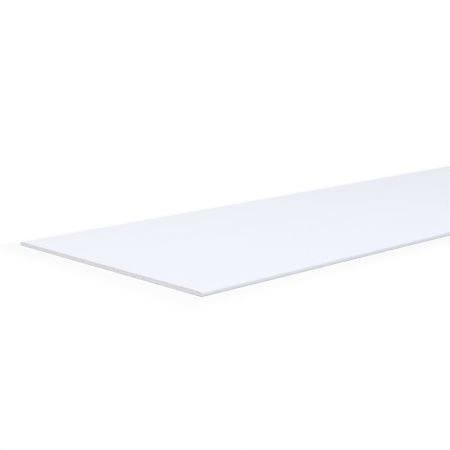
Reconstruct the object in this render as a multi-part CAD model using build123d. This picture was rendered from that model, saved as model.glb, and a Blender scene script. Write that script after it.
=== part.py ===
"""A drywall sheet: a full plasterboard as it leaves the line, lying face up.

+X runs along the sheet, +Y across it and +Z out of its face. The origin is the middle of the back.
The section is drawn once, across the sheet, and runs unchanged from one cut end to the other.
"""

import os
from math import atan, cos, degrees, radians, sin, tan

from build123d import *

# Overall size in millimetres
sheet_length = 2400.0
sheet_width = 1200.0
sheet_thickness = 12.5

# Shallow taper along both long edges of the face, which takes the joint tape and filler
taper_width = 50.0
taper_depth = 1.2

# Long edge: the face rolls over in a nose, leans in a little towards the back and folds under it
nose_radius = 4.5
edge_lean_deg = 3.0
back_fold_radius = 1.2


def half_section():
    """Outline of the +Y half of the section, from the middle of the back round to the middle of the face.

    Both arcs are placed by their centres, so that each runs into its neighbours without a kink and the
    nose is widest at exactly half the sheet's width.
    """
    half_width = sheet_width / 2
    slope = atan(taper_depth / taper_width)
    lean = radians(edge_lean_deg)

    # The nose is never rounder than the tapered edge has room for above its back fold
    edge_thickness = sheet_thickness - taper_depth
    nose = min(nose_radius, (edge_thickness - back_fold_radius) / (1 + sin(lean)))
    nose_y = half_width - nose
    nose_z = sheet_thickness - nose / cos(slope) - (taper_width - nose) * tan(slope)

    fold_z = back_fold_radius
    fold_y = nose_y + (nose - back_fold_radius) / cos(lean) + (fold_z - nose_z) * tan(lean)

    back = Line((0, 0), (fold_y, 0))
    fold = CenterArc((fold_y, fold_z), back_fold_radius, -90, 90 - edge_lean_deg)
    roll = CenterArc((nose_y, nose_z), nose, -edge_lean_deg, 90 + edge_lean_deg - degrees(slope))
    edge = Line(fold @ 1, roll @ 0)
    taper = Line(roll @ 1, (half_width - taper_width, sheet_thickness))
    face = Line(taper @ 1, (0, sheet_thickness))
    return back + fold + edge + roll + taper + face


def drywall_sheet():
    """The whole section, mirrored from its half, run along the sheet between its two square-cut ends."""
    half = half_section()
    section = make_face(Plane.YZ * (half + mirror(half, about=Plane.YZ)))
    return extrude(section, amount=sheet_length / 2, both=True)


os.makedirs("parts", exist_ok=True)
export_step(drywall_sheet(), "parts/drywall_sheet.step")
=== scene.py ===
from math import atan, ceil, cos, dist, pi, radians, sin, tan

import bmesh
import bpy
import numpy as np
from mathutils import Matrix, Vector, noise


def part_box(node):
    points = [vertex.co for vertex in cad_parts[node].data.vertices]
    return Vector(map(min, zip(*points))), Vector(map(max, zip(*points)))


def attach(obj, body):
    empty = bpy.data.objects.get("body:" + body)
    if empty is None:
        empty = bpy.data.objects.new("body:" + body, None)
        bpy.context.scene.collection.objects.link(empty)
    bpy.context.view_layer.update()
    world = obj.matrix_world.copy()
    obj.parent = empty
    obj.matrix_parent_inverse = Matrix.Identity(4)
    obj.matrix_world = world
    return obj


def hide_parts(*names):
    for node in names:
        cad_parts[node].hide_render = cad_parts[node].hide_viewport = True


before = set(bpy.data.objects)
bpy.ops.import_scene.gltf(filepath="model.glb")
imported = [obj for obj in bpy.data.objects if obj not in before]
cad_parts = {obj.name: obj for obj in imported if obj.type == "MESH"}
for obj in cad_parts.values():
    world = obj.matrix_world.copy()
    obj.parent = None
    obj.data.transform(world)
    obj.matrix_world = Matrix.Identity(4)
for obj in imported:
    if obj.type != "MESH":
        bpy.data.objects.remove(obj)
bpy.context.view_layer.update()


# Face liner. The white paper of the board is a stiff web of several plies, a white one over tan ones.
# It is laid first, face down. Both its sides are creased and folded up round the wet plaster, so that
# one web makes the face, both long edges and a narrow flap on the back.
half_length, half_width, board_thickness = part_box("drywall_sheet")[1]  # the origin is mid back
face_liner_thickness = 0.0004
back_liner_thickness = 0.0004
flap_width = 0.025
taper_width = 0.050
taper_depth = 0.0012
taper_shoulder = 0.010
nose_radius = 0.0045
edge_lean = radians(3)
fold_radius = 0.0012
fold_steps = 6
nose_steps = 12
face_steps = 6


def arc(centre_y, centre_z, radius, start, end, steps):
    """Points (y, z) round part of a circle, both ends included."""
    turns = [start + (end - start) * step / steps for step in range(steps + 1)]
    return [(centre_y + radius * cos(turn), centre_z + radius * sin(turn)) for turn in turns]


def wrapped_half(depth):
    """The +Y half of the wrapped section, `depth` under the face liner's skin.

    It runs from the flap's edge on the back, round the fold and the nose and over the taper to mid face.
    The line where the taper starts is eased by a shoulder on both sides of it.
    """
    slope = atan(taper_depth / taper_width)
    nose_y = half_width - nose_radius
    nose_z = board_thickness - nose_radius / cos(slope) - (taper_width - nose_radius) * tan(slope)
    fold_z = back_liner_thickness + fold_radius
    fold_y = nose_y + (nose_radius - fold_radius) / cos(edge_lean) + (fold_z - nose_z) * tan(edge_lean)
    face_z = board_thickness - depth
    taper_y = half_width - taper_width
    flat_y = taper_y - taper_shoulder
    drop = taper_shoulder * tan(slope)

    points = [(half_width - flap_width, back_liner_thickness + depth)]
    points += arc(fold_y, fold_z, fold_radius - depth, -pi / 2, -edge_lean, fold_steps)
    points += arc(nose_y, nose_z, nose_radius - depth, -edge_lean, 0, 1)
    points += arc(nose_y, nose_z, nose_radius - depth, 0, pi / 2 - slope, nose_steps)[1:]
    points += [(taper_y + taper_shoulder, face_z - drop), (taper_y, face_z - drop / 4)]
    points += [(flat_y * (1 - step / face_steps), face_z) for step in range(face_steps + 1)]
    return points


def mirrored(half):
    """A half section and its mirror image, from the +Y side to the -Y side."""
    return half + [(-y, z) for y, z in reversed(half[:-1])]


# The knife leaves the white ply a little ragged, and it is worn further back at two knocked corners.
# Each knock gives the end, its place across the board, its height, its reach and its depth. Each patch
# gives its width and height on the end, and a number that sets the two ends apart.
even_wear = 0.00013
ragged_wear = 0.00010
drift_wear = 0.00008
least_wear = 0.00005
knock_raggedness = 0.5
ragged_patch = (0.0035, 0.0035, 3.7)
drift_patch = (0.045, 0.045, 8.3)
knocks = [
    (-1, -half_width, board_thickness / 2, 0.110, 0.0005),
    (-1, half_width, board_thickness, 0.020, 0.0008),
]


def knocked(hits, end, y, z):
    """How far the given knocks go in at a place on one end of the board."""
    total = 0.0
    for hit_end, hit_y, hit_z, reach, depth in hits:
        if hit_end == end:
            near = max(0.0, 1 - dist((y, z), (hit_y, hit_z)) / reach)
            total += depth * near * near * (3 - 2 * near)
    return total


def uneven(end, y, z, patch):
    """Smooth noise over one end of the board, between -1 and 1, in patches of the given kind."""
    patch_width, patch_height, apart = patch
    return noise.noise((y / patch_width, z / patch_height, end * apart))


def worn_back(end, y, z):
    """How far the white ply is worn back from the cut at one end of the board."""
    ragged = uneven(end, y, z, ragged_patch)
    drift = uneven(end, y, z, drift_patch)
    worn = even_wear + ragged_wear * ragged + drift_wear * drift
    worn += knocked(knocks, end, y, z) * (1 + knock_raggedness * ragged)
    return max(worn, least_wear)


fine_step = 0.0012


def finely(skin, under):
    """Two lines of as many points, cut into short steps, and the places of their own points in them."""
    fine_skin = []
    fine_under = []
    own = []
    for index in range(len(skin) - 1):
        steps = ceil(dist(skin[index], skin[index + 1]) / fine_step)
        own.append(len(fine_skin))
        for step in range(steps):
            for line, fine in ((skin, fine_skin), (under, fine_under)):
                fine.append(tuple(Vector(line[index]).lerp(Vector(line[index + 1]), step / steps)))
    own.append(len(fine_skin))
    return fine_skin + [skin[-1]], fine_under + [under[-1]], own


def bridge(first, second, own):
    """Faces between two rings of corners. The plainer ring holds only the `own` corners of the other."""
    wide, plain = sorted((first, second), key=len, reverse=True)
    marks = own if len(wide) > len(plain) else list(range(len(wide)))
    faces = []
    for corner, (start, stop) in enumerate(zip(marks, marks[1:] + [len(wide)])):
        run = [wide[place % len(wide)] for place in range(start, stop + 1)]
        faces += [[here, after, plain[corner]] for here, after in zip(run, run[1:-1])]
        faces.append([run[-2], run[-1], plain[(corner + 1) % len(plain)], plain[corner]])
    return faces


# Flat layout of a web for baking, on a square of side 1. Each band gives its foot and its height.
layout_margin = 0.005
skin_band = (0.005, 0.86)
under_band = (0.88, 0.06)
front_end_band = (0.947, 0.01)
rear_end_band = (0.960, 0.01)
right_side_band = (0.973, 0.01)
left_side_band = (0.986, 0.01)


def laid_out(along, up, band):
    """A place on the flat layout, from shares along a band and up it."""
    foot, height = band
    return layout_margin + (1 - 2 * layout_margin) * along, foot + height * up


def web_layout(faces, places):
    """The flat layout of each face of a web, and its finish: 0 for the skin and 1 for the plies below."""
    uv_of_face = []
    slot_of_face = []
    for face in faces:
        lengths, widths, layers = zip(*[places[corner] for corner in face])
        if len(set(layers)) == 1:
            band = under_band if layers[0] else skin_band
            uv = [laid_out(length, width, band) for length, width in zip(lengths, widths)]
        elif len(set(lengths)) == 1:
            band = front_end_band if lengths[0] > 0.5 else rear_end_band
            uv = [laid_out(width, layer, band) for width, layer in zip(widths, layers)]
        else:
            band = right_side_band if widths[0] > 0.5 else left_side_band
            uv = [laid_out(length, layer, band) for length, layer in zip(lengths, layers)]
        uv_of_face.append(uv)
        slot_of_face.append(max(layers))
    return uv_of_face, slot_of_face


sharp_angle = radians(35)


def make_piece(name, points, faces, uv_of_face, slot_of_face, materials):
    """A closed mesh with its finishes and its flat layout, shaded smooth between its sharp edges."""
    mesh = bpy.data.meshes.new(name)
    mesh.from_pydata(points, [], faces)
    for material in materials:
        mesh.materials.append(material)
    mesh.polygons.foreach_set("material_index", slot_of_face)
    layout = mesh.uv_layers.new(name="OFBake")
    layout.data.foreach_set("uv", [value for uv in uv_of_face for pair in uv for value in pair])
    shell = bmesh.new()
    shell.from_mesh(mesh)
    bmesh.ops.recalc_face_normals(shell, faces=shell.faces)
    shell.to_mesh(mesh)
    shell.free()
    mesh.shade_smooth()
    mesh.set_sharp_from_angle(angle=sharp_angle)
    piece = bpy.data.objects.new(name, mesh)
    bpy.context.scene.collection.objects.link(piece)
    return piece


# A web is finely divided from each cut to `worn_reach` behind it, and plain from `plain_reach` on.
# Its under side is worn less than its skin. Its sides wander in waves, along one row of the noise.
worn_reach = 0.006
plain_reach = 0.030
plain_spans = 24
wear_of_layer = (1.0, 0.3)
trim_wave = 0.17
trim_row = (2.6, 0.4)


def paper_web(name, skin, under, trim, materials):
    """A web of paper between two section lines, as long as the board and closed all round.

    The skin shows and the under side is glued. The cut ends are worn back on the skin more than below
    it, so that the plies show as a thin slant. `trim` is how far the web's two sides wander.
    """
    fine_skin, fine_under, own = finely(skin, under)
    lines = (fine_skin, fine_under)
    count = len(fine_skin)
    section = [(place, 0) for place in range(count)] + [(place, 1) for place in reversed(range(count))]
    section_own = own + [2 * count - 1 - place for place in reversed(own)]
    spans = [1 - 2 * span / plain_spans for span in range(plain_spans + 1)]
    stations = [(half_length, "cut"), (half_length - worn_reach, "fine")]
    stations += [(span * (half_length - plain_reach), "plain") for span in spans]
    stations += [(worn_reach - half_length, "fine"), (-half_length, "cut")]

    points = []
    places = []
    rings = []
    for x, detail in stations:
        end = 1 if x > 0 else -1
        wander = trim * noise.noise((x / trim_wave, *trim_row))
        ring = []
        for index in section_own if detail == "plain" else range(len(section)):
            place, layer = section[index]
            y, z = lines[layer][place]
            side = (place == 0) - (place == count - 1)
            worn = wear_of_layer[layer] * worn_back(end, y, z) if detail == "cut" else 0.0
            ring.append(len(points))
            points.append((x - end * worn, y + side * wander, z))
            places.append((0.5 + 0.5 * x / half_length, place / (count - 1), layer))
        rings.append(ring)

    faces = []
    for first, second in zip(rings, rings[1:]):
        faces += bridge(first, second, section_own)
    for ring in (rings[0], rings[-1]):
        for place in range(count - 1):
            faces.append([ring[place], ring[place + 1], ring[-2 - place], ring[-1 - place]])
    return make_piece(name, points, faces, *web_layout(faces, places), materials)


def set_sockets(tree, node, sockets):
    """Link a node's sockets where a socket is given, and set them elsewhere.

    Sockets of one node that share a name are told apart by their identifiers.
    """
    for name, value in sockets.items():
        found = [socket for socket in node.inputs if socket.identifier == name]
        socket = found[0] if found else node.inputs[name]
        if isinstance(value, bpy.types.NodeSocket):
            tree.links.new(value, socket)
        else:
            socket.default_value = value


def add_node(tree, kind, sockets, **settings):
    """Add a node with its settings and sockets, and return it."""
    node = tree.nodes.new(kind)
    for setting, value in settings.items():
        setattr(node, setting, value)
    set_sockets(tree, node, sockets)
    return node


def calculate(tree, operation, first, second):
    """Two values put together by one operation."""
    sockets = {"Value": first, "Value_001": second}
    return add_node(tree, "ShaderNodeMath", sockets, operation=operation).outputs["Value"]


def remap(tree, value, old_range, new_range):
    """A value taken from one range to another, and held inside it."""
    low, high = old_range
    new_low, new_high = new_range
    sockets = {"Value": value, "From Min": low, "From Max": high, "To Min": new_low, "To Max": new_high}
    return add_node(tree, "ShaderNodeMapRange", sockets).outputs["Result"]


def mix_colours(tree, share, plain, other):
    """A colour between two colours."""
    sockets = {"Factor_Float": share, "A_Color": plain, "B_Color": other}
    node = add_node(tree, "ShaderNodeMix", sockets, data_type="RGBA")
    return [socket for socket in node.outputs if socket.identifier == "Result_Color"][0]


def measured_in(tree, place, grain):
    """A place measured in grains of the given size, one size for each of x, y and z or one for all."""
    sockets = {"Vector": place, "Vector_001": grain}
    return add_node(tree, "ShaderNodeVectorMath", sockets, operation="DIVIDE").outputs["Vector"]


noise_roughness = 0.55


def soft_noise(tree, place, grain, detail):
    """Cloudy noise with patches of about the given size, around 0.5."""
    place = measured_in(tree, place, grain)
    sockets = {"Vector": place, "Scale": 1.0, "Detail": detail, "Roughness": noise_roughness}
    return add_node(tree, "ShaderNodeTexNoise", sockets).outputs["Fac"]


def scattered(tree, place, cell):
    """Points strewn one to a cell: how far the nearest is, in cells, and three random draws for it."""
    sockets = {"Vector": measured_in(tree, place, cell), "Scale": 1.0}
    nearest = add_node(tree, "ShaderNodeTexVoronoi", sockets).outputs
    draws = add_node(tree, "ShaderNodeSeparateColor", {"Color": nearest["Color"]}).outputs
    return nearest["Distance"], draws


def new_finish(name):
    """A material with its node tree, its shader and the place on its piece in metres."""
    material = bpy.data.materials.new(name)
    material.use_nodes = True
    tree = material.node_tree
    shader = tree.nodes["Principled BSDF"]
    place = add_node(tree, "ShaderNodeTexCoord", {}).outputs["Object"]
    return material, tree, shader, place


# Paper stuff: flocs that the pulp settles in, fibres drawn out along the machine, stray dark flecks
# and a slow drift of tone. Grains and cells have a size along, across and through the board.
fibre_grain = (0.0045, 0.0006, 0.0006)
fleck_cell = (0.006, 0.003, 0.003)
fleck_rim = (0.10, 0.18)
drift_grain = (0.55, 0.16, 0.16)
paper_stuff = bpy.data.node_groups.new("paper_stuff", "ShaderNodeTree")
for socket_name, socket_kind in (("Place", "Vector"), ("Floc Size", "Float"), ("Fleck Share", "Float")):
    paper_stuff.interface.new_socket(socket_name, in_out="INPUT", socket_type="NodeSocket" + socket_kind)
for socket_name in ("Floc", "Fibre", "Fleck", "Drift"):
    paper_stuff.interface.new_socket(socket_name, in_out="OUTPUT", socket_type="NodeSocketFloat")
given = add_node(paper_stuff, "NodeGroupInput", {}).outputs
fleck_distance, fleck_draws = scattered(paper_stuff, given["Place"], fleck_cell)
fleck_picked = calculate(paper_stuff, "LESS_THAN", fleck_draws["Red"], given["Fleck Share"])
fleck_spot = remap(paper_stuff, fleck_distance, fleck_rim, (1.0, 0.0))
add_node(paper_stuff, "NodeGroupOutput", {
    "Floc": soft_noise(paper_stuff, given["Place"], given["Floc Size"], detail=3.0),
    "Fibre": soft_noise(paper_stuff, given["Place"], fibre_grain, detail=2.0),
    "Fleck": calculate(paper_stuff, "MULTIPLY", fleck_spot, fleck_picked),
    "Drift": soft_noise(paper_stuff, given["Place"], drift_grain, detail=2.0),
})
fibre_height = 0.0002
paper_gloss = 0.3


def paper(name, colour, shade, fleck_colour, floc_size, fleck_share, bump):
    """A matt paper: its colour drifts towards `shade` with the flocs and fibres of the stuff."""
    material, tree, shader, place = new_finish(name)
    sockets = {"Place": place, "Floc Size": floc_size, "Fleck Share": fleck_share}
    stuff = add_node(tree, "ShaderNodeGroup", sockets, node_tree=paper_stuff).outputs
    drift_share = remap(tree, stuff["Drift"], (0.30, 0.70), (0.0, 0.50))
    floc_share = remap(tree, stuff["Floc"], (0.35, 0.70), (0.0, 0.45))
    fibre_share = remap(tree, stuff["Fibre"], (0.45, 0.70), (0.0, 0.60))
    tone = colour
    for share in (drift_share, floc_share, fibre_share):
        tone = mix_colours(tree, share, tone, shade)
    relief = {"Strength": bump, "Distance": fibre_height, "Height": stuff["Fibre"]}
    set_sockets(tree, shader, {
        "Base Color": mix_colours(tree, stuff["Fleck"], tone, fleck_colour),
        "Roughness": remap(tree, stuff["Fibre"], (0.30, 0.70), (0.86, 0.74)),
        "Normal": add_node(tree, "ShaderNodeBump", relief).outputs["Normal"],
        "Specular IOR Level": paper_gloss,
    })
    return material


face_paper = paper(
    "face_paper",
    colour=(0.865, 0.888, 0.943, 1.0),
    shade=(0.835, 0.858, 0.916, 1.0),
    fleck_colour=(0.72, 0.71, 0.70, 1.0),
    floc_size=0.009,
    fleck_share=0.015,
    bump=0.12,
)
tan_ply = paper(
    "tan_ply",
    colour=(0.71, 0.61, 0.51, 1.0),
    shade=(0.60, 0.49, 0.38, 1.0),
    fleck_colour=(0.30, 0.21, 0.14, 1.0),
    floc_size=0.004,
    fleck_share=0.10,
    bump=0.30,
)
face_trim = 0.0
face_skin = mirrored(wrapped_half(0.0))
face_under = mirrored(wrapped_half(face_liner_thickness))
face_liner = paper_web("face_liner", face_skin, face_under, face_trim, [face_paper, tan_ply])
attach(face_liner, "root")
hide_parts("drywall_sheet")


# Plaster core. Gypsum slurry, foamed to make it light, sets between the liners and bonds to them.
# The dried board is cut to length, so the core shows only at its two ends, where the knife leaves
# drawn-out marks, broken bubbles and a chip.
glue_gap = 0.00002
flap_ramp = 0.0004

# The lower line of its section lies on the back liner, and steps up over the flap by a short ramp.
# The upper line runs from mid face out to the widest point.
core_half = wrapped_half(face_liner_thickness + glue_gap)
widest = max(range(len(core_half)), key=lambda index: core_half[index][0])
flap_y = half_width - flap_width - glue_gap
core_lower = [(0.0, back_liner_thickness), (flap_y - flap_ramp, back_liner_thickness)]
core_lower += [(flap_y, core_half[0][1])] + core_half[1:widest + 1]
core_upper = core_half[:widest - 1:-1]

# The chip is given as the knocks are. Hollows are crumbled where their noise passes a threshold.
core_set_back = 0.00030
least_set_back = 0.00010
drag_depth = 0.00014
grit_depth = 0.00008
hollow_depth = 0.0030
hollow_threshold = 0.38
core_knock_share = 0.5
drag_patch = (0.050, 0.0016, 5.3)
grit_patch = (0.0031, 0.0027, 9.1)
hollow_patch = (0.0052, 0.0036, 12.7)
chips = [(-1, -half_width + 0.0205, board_thickness - 0.0024, 0.0036, 0.0040)]


def core_z(line, y):
    """Height of the core's lower or upper line at a place across the board."""
    line_y, line_z = zip(*line)
    return float(np.interp(abs(y), line_y, line_z))


def crumbled(end, y, z):
    """How far the plaster is set back from the cut at one end of the board."""
    hollow = max(0.0, uneven(end, y, z, hollow_patch) - hollow_threshold)
    lost = core_set_back + hollow_depth * hollow
    lost += drag_depth * uneven(end, y, z, drag_patch) + grit_depth * uneven(end, y, z, grit_patch)
    lost += knocked(chips, end, y, z) + core_knock_share * knocked(knocks, end, y, z)
    return max(lost, least_set_back)


# Columns across the end: one at each corner of the section and at each step between them. The last
# column stands just short of the widest point, where the section has no height.
column_step = 0.00125
least_column = 0.0001
corner_columns = [0.0]
for y in sorted(y for y, z in core_lower + core_upper):
    if y > corner_columns[-1] + least_column:
        corner_columns.append(y)
corner_columns.pop()
half_columns = [corner_columns[-1]]
for y, next_y in zip(reversed(corner_columns[:-1]), reversed(corner_columns)):
    steps = ceil((next_y - y) / column_step)
    half_columns += [next_y + (y - next_y) * step / steps for step in range(1, steps)] + [y]
columns = [-y for y in half_columns] + half_columns[-2::-1]
last_column = len(columns) - 1

# Both ends, as grids of columns and rows. In the flat layout each end is cut into strips.
last_row = 12
column_points = last_row + 1
end_strips = 6
strips_share = 0.86
strip_fill = 0.9
strip_columns = ceil(last_column / end_strips)
strip_pitch = strips_share / (2 * end_strips)
strip_height = strip_fill * strip_pitch
cell_corners = ((0, 0), (1, 0), (1, 1), (0, 1))
core_points = []
core_faces = []
core_uv = []
for end in (1, -1):
    base = len(core_points)
    first_strip = 0 if end > 0 else end_strips
    for y in columns:
        low = core_z(core_lower, y)
        high = core_z(core_upper, y)
        for row in range(column_points):
            z = low + (high - low) * row / last_row
            core_points.append((end * (half_length - crumbled(end, y, z)), y, z))
    for column in range(last_column):
        strip, place = divmod(column, strip_columns)
        band = (layout_margin + strip_pitch * (first_strip + strip), strip_height)
        for row in range(last_row):
            core_faces.append([base + (column + c) * column_points + row + r for c, r in cell_corners])
            shares = [((place + c) / strip_columns, (row + r) / last_row) for c, r in cell_corners]
            core_uv.append([laid_out(along, up, band) for along, up in shares])

# The rim of each end, over the face, down one long edge, back under the board and up the other.
# Behind each end the core runs on plainly, under the liners, with the section's own corners alone.
core_side_band = (0.875, 0.12)
rim = [(column, last_row) for column in range(last_column)]
rim += [(last_column, row) for row in range(last_row, 0, -1)]
rim += [(column, 0) for column in range(last_column, 0, -1)]
rim += [(0, row) for row in range(last_row)]
rim_own = [place for place, (column, row) in enumerate(rim) if abs(columns[column]) in corner_columns]
end_points = len(columns) * column_points
end_rings = [[base + column * column_points + row for column, row in rim] for base in (0, end_points)]
rim_share = {}
plain_rings = []
for end, end_ring in zip((1, -1), end_rings):
    for place, corner in enumerate(end_ring):
        rim_share[corner] = place / len(rim)
    plain_ring = []
    for place in rim_own:
        x, y, z = core_points[end_ring[place]]
        rim_share[len(core_points)] = place / len(rim)
        plain_ring.append(len(core_points))
        core_points.append((end * (half_length - plain_reach), y, z))
    plain_rings.append(plain_ring)
side_rings = [end_rings[0], plain_rings[0], plain_rings[1], end_rings[1]]
for first, second in zip(side_rings, side_rings[1:]):
    for face in bridge(first, second, rim_own):
        shares = [rim_share[corner] for corner in face]
        lengths = [0.5 + 0.5 * core_points[corner][0] / half_length for corner in face]
        if max(shares) - min(shares) > 0.5:
            # The last faces of a ring close it on the rim's first place
            shares = [1.0 if share == 0 else share for share in shares]
        core_faces.append(face)
        core_uv.append([laid_out(*pair, core_side_band) for pair in zip(shares, lengths)])

# Plaster: fine grain and drag marks vary its tone, and it is pitted by bubbles of many sizes. The bubbles
# are bumped in and also painted a darker grey, a painted shade for their hollows
drag_grain = (0.030, 0.060, 0.0013)
fine_grain = (0.0008, 0.0008, 0.0008)
large_pore_cell = (0.0024, 0.0024, 0.0024)
small_pore_cell = (0.0009, 0.0009, 0.0009)
pore_radius = (0.09, 0.33)
pore_rarity = 3.0
pore_floor = 0.6
pore_depth = 3.0
grain_height = 0.0003
grain_bump = 0.5
plaster_gloss = 0.2
plaster_colour = (0.826, 0.853, 0.891, 1.0)
plaster_shade = (0.722, 0.746, 0.771, 1.0)
pore_painted_shade = (0.600, 0.610, 0.615, 1.0)


def pores(tree, place, cell):
    """1 inside broken bubbles and 0 outside them. Most are small, and a few fill much of their cell.

    A cell's green is where its bubble lies across the board, so on a cut end it is a fair draw.
    """
    distance, draws = scattered(tree, place, cell)
    size = calculate(tree, "POWER", draws["Green"], pore_rarity)
    radius = remap(tree, size, (0.0, 1.0), pore_radius)
    floor_radius = calculate(tree, "MULTIPLY", radius, pore_floor)
    return remap(tree, distance, (floor_radius, radius), (1.0, 0.0))


gypsum, tree, shader, place = new_finish("gypsum")
drag_marks = soft_noise(tree, place, drag_grain, detail=3.0)
grain = soft_noise(tree, place, fine_grain, detail=3.0)
large_pores = pores(tree, place, large_pore_cell)
small_pores = pores(tree, place, small_pore_cell)
bubbles = calculate(tree, "MAXIMUM", large_pores, small_pores)
drag_share = remap(tree, drag_marks, (0.40, 0.70), (0.0, 0.55))
grain_share = remap(tree, grain, (0.40, 0.75), (0.0, 0.50))
tone = mix_colours(tree, drag_share, plaster_colour, plaster_shade)
tone = mix_colours(tree, grain_share, tone, plaster_shade)
pits = calculate(tree, "SUBTRACT", grain, calculate(tree, "MULTIPLY", bubbles, pore_depth))
relief = {"Strength": grain_bump, "Distance": grain_height, "Height": pits}
# Inside the bubbles the colour turns grey: painted shade standing for the shade in their hollows
set_sockets(tree, shader, {
    "Base Color": mix_colours(tree, bubbles, tone, pore_painted_shade),
    "Roughness": remap(tree, grain, (0.30, 0.70), (0.80, 0.95)),
    "Normal": add_node(tree, "ShaderNodeBump", relief).outputs["Normal"],
    "Specular IOR Level": plaster_gloss,
})
core_slots = [0] * len(core_faces)
gypsum_core = make_piece("gypsum_core", core_points, core_faces, core_uv, core_slots, [gypsum])
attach(gypsum_core, "root")
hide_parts("drywall_sheet")


# Back liner. A second web of plainer paper, browner inside, comes down on the wet core from above and
# closes the board. It is glued over both flaps of the face liner, and stops short of the long edges, so
# that a strip of each flap stays bare.
bare_flap = 0.011
back_trim = 0.0012
back_steps = 12
back_reach = half_width - bare_flap
back_y = [back_reach * (1 - 2 * step / back_steps) for step in range(back_steps + 1)]
back_skin = [(y, 0.0) for y in back_y]
back_under = [(y, back_liner_thickness - glue_gap) for y in back_y]
back_paper = paper(
    "back_paper",
    colour=(0.600, 0.545, 0.475, 1.0),
    shade=(0.520, 0.465, 0.395, 1.0),
    fleck_colour=(0.34, 0.29, 0.24, 1.0),
    floc_size=0.007,
    fleck_share=0.12,
    bump=0.25,
)
back_ply = paper(
    "back_ply",
    colour=(0.40, 0.31, 0.23, 1.0),
    shade=(0.32, 0.24, 0.17, 1.0),
    fleck_colour=(0.20, 0.14, 0.09, 1.0),
    floc_size=0.004,
    fleck_share=0.10,
    bump=0.30,
)
back_liner = paper_web("back_liner", back_skin, back_under, back_trim, [back_paper, back_ply])
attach(back_liner, "root")
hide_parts("drywall_sheet")


# Floor. A wide pale studio floor that the board lies on. It keeps the board's real shadow. Within about
# 12 cm of the board it shows a pale grey, a painted shade round the board's foot, and further away it
# runs out into plain white.
floor_drop = 0.0002
floor_reach = 30.0
floor_bounce_tone = (0.90, 0.90, 0.90, 1.0)
floor_tone_and_painted_shade = (0.92, 0.92, 0.92, 1.0)
painted_shade_run_out = (0.01, 0.12)
plain_white = (1.0, 1.0, 1.0, 1.0)
square_corners = ((-1, -1), (1, -1), (1, 1), (-1, 1))
floor_corners = [(x * floor_reach, y * floor_reach, -floor_drop) for x, y in square_corners]
floor_mesh = bpy.data.meshes.new("floor")
floor_mesh.from_pydata(floor_corners, [], [(0, 1, 2, 3)])
floor = bpy.data.objects.new("floor", floor_mesh)
bpy.context.scene.collection.objects.link(floor)


def seen_rays(tree):
    """1 for what the camera sees, straight or in gloss or glass, and 0 for light that bounces."""
    rays = add_node(tree, "ShaderNodeLightPath", {}).outputs
    seen = calculate(tree, "MAXIMUM", rays["Is Camera Ray"], rays["Is Glossy Ray"])
    return calculate(tree, "MAXIMUM", seen, rays["Is Transmission Ray"])


def off_the_board(tree, place):
    """How far a place on the floor is from the board's box, sideways or lengthways."""
    apart = add_node(tree, "ShaderNodeVectorMath", {"Vector": place}, operation="ABSOLUTE")
    sockets = {"Vector": apart.outputs["Vector"], "Vector_001": (half_length, half_width, 0.0)}
    apart = add_node(tree, "ShaderNodeVectorMath", sockets, operation="SUBTRACT")
    apart = add_node(tree, "ShaderNodeSeparateXYZ", {"Vector": apart.outputs["Vector"]}).outputs
    return calculate(tree, "MAXIMUM", apart["X"], apart["Y"])


floor_paint, tree, shader, place = new_finish("floor_paint")
seen = seen_rays(tree)
set_sockets(tree, shader, {
    "Base Color": mix_colours(tree, seen, floor_bounce_tone, floor_tone_and_painted_shade),
    "Roughness": 1.0,
    "Specular IOR Level": 0.0,
})
# Near the board the floor keeps its grey seen tone, a painted shade round the foot, and it fades to white
# by 12 cm away
white_share = remap(tree, off_the_board(tree, place), painted_shade_run_out, (0.0, 1.0))
white = add_node(tree, "ShaderNodeEmission", {"Color": plain_white, "Strength": 1.0})
surface = add_node(tree, "ShaderNodeMixShader", {
    "Fac": calculate(tree, "MULTIPLY", white_share, seen),
    "Shader": shader.outputs["BSDF"],
    "Shader_001": white.outputs["Emission"],
})
set_sockets(tree, tree.nodes["Material Output"], {"Surface": surface.outputs["Shader"]})
floor_mesh.materials.append(floor_paint)


# Light. An even white room, and one wide soft lamp high on the side of the cut end, so that the face is
# the brightest side, the end next and the foot of the long edge the darkest.
room_tone = (0.516, 0.516, 0.516, 1.0)
lamp_height = radians(68)
lamp_bearing = radians(208)
lamp_distance = 11.5
lamp_width = 6.65
lamp_power = 715.0
room = bpy.data.worlds.new("white_room")
room.use_nodes = True
bpy.context.scene.world = room
tree = room.node_tree
room_colour = mix_colours(tree, seen_rays(tree), room_tone, plain_white)
set_sockets(tree, tree.nodes["Background"], {"Color": room_colour})
lamp = bpy.data.lights.new("soft_lamp", "AREA")
lamp.shape = "DISK"
lamp.size = lamp_width
lamp.energy = lamp_power
lamp_object = bpy.data.objects.new("soft_lamp", lamp)
bpy.context.scene.collection.objects.link(lamp_object)
aimed = Matrix.Rotation(lamp_bearing + pi / 2, 4, "Z") @ Matrix.Rotation(pi / 2 - lamp_height, 4, "X")
lamp_object.matrix_world = aimed @ Matrix.Translation((0.0, 0.0, lamp_distance))


# Camera. It stands off the near corner, low over the board, and sees the cut end on the left and the
# long edge on the right, which runs out of the picture.
camera_station = Vector((-2.2995, -2.3057, 0.5146))
camera_yaw = radians(55.15)
camera_pitch = radians(9.4)
camera_roll = radians(-4.435)
camera_data = bpy.data.cameras.new("camera")
camera_data.sensor_width = 36.0
camera_data.lens = 66.2
camera = bpy.data.objects.new("camera", camera_data)
bpy.context.scene.collection.objects.link(camera)
turned = Matrix.Rotation(camera_yaw - pi / 2, 4, "Z") @ Matrix.Rotation(pi / 2 - camera_pitch, 4, "X")
camera.matrix_world = Matrix.Translation(camera_station) @ turned @ Matrix.Rotation(camera_roll, 4, "Z")
bpy.context.scene.camera = camera
bpy.context.scene.view_settings.view_transform = "Standard"
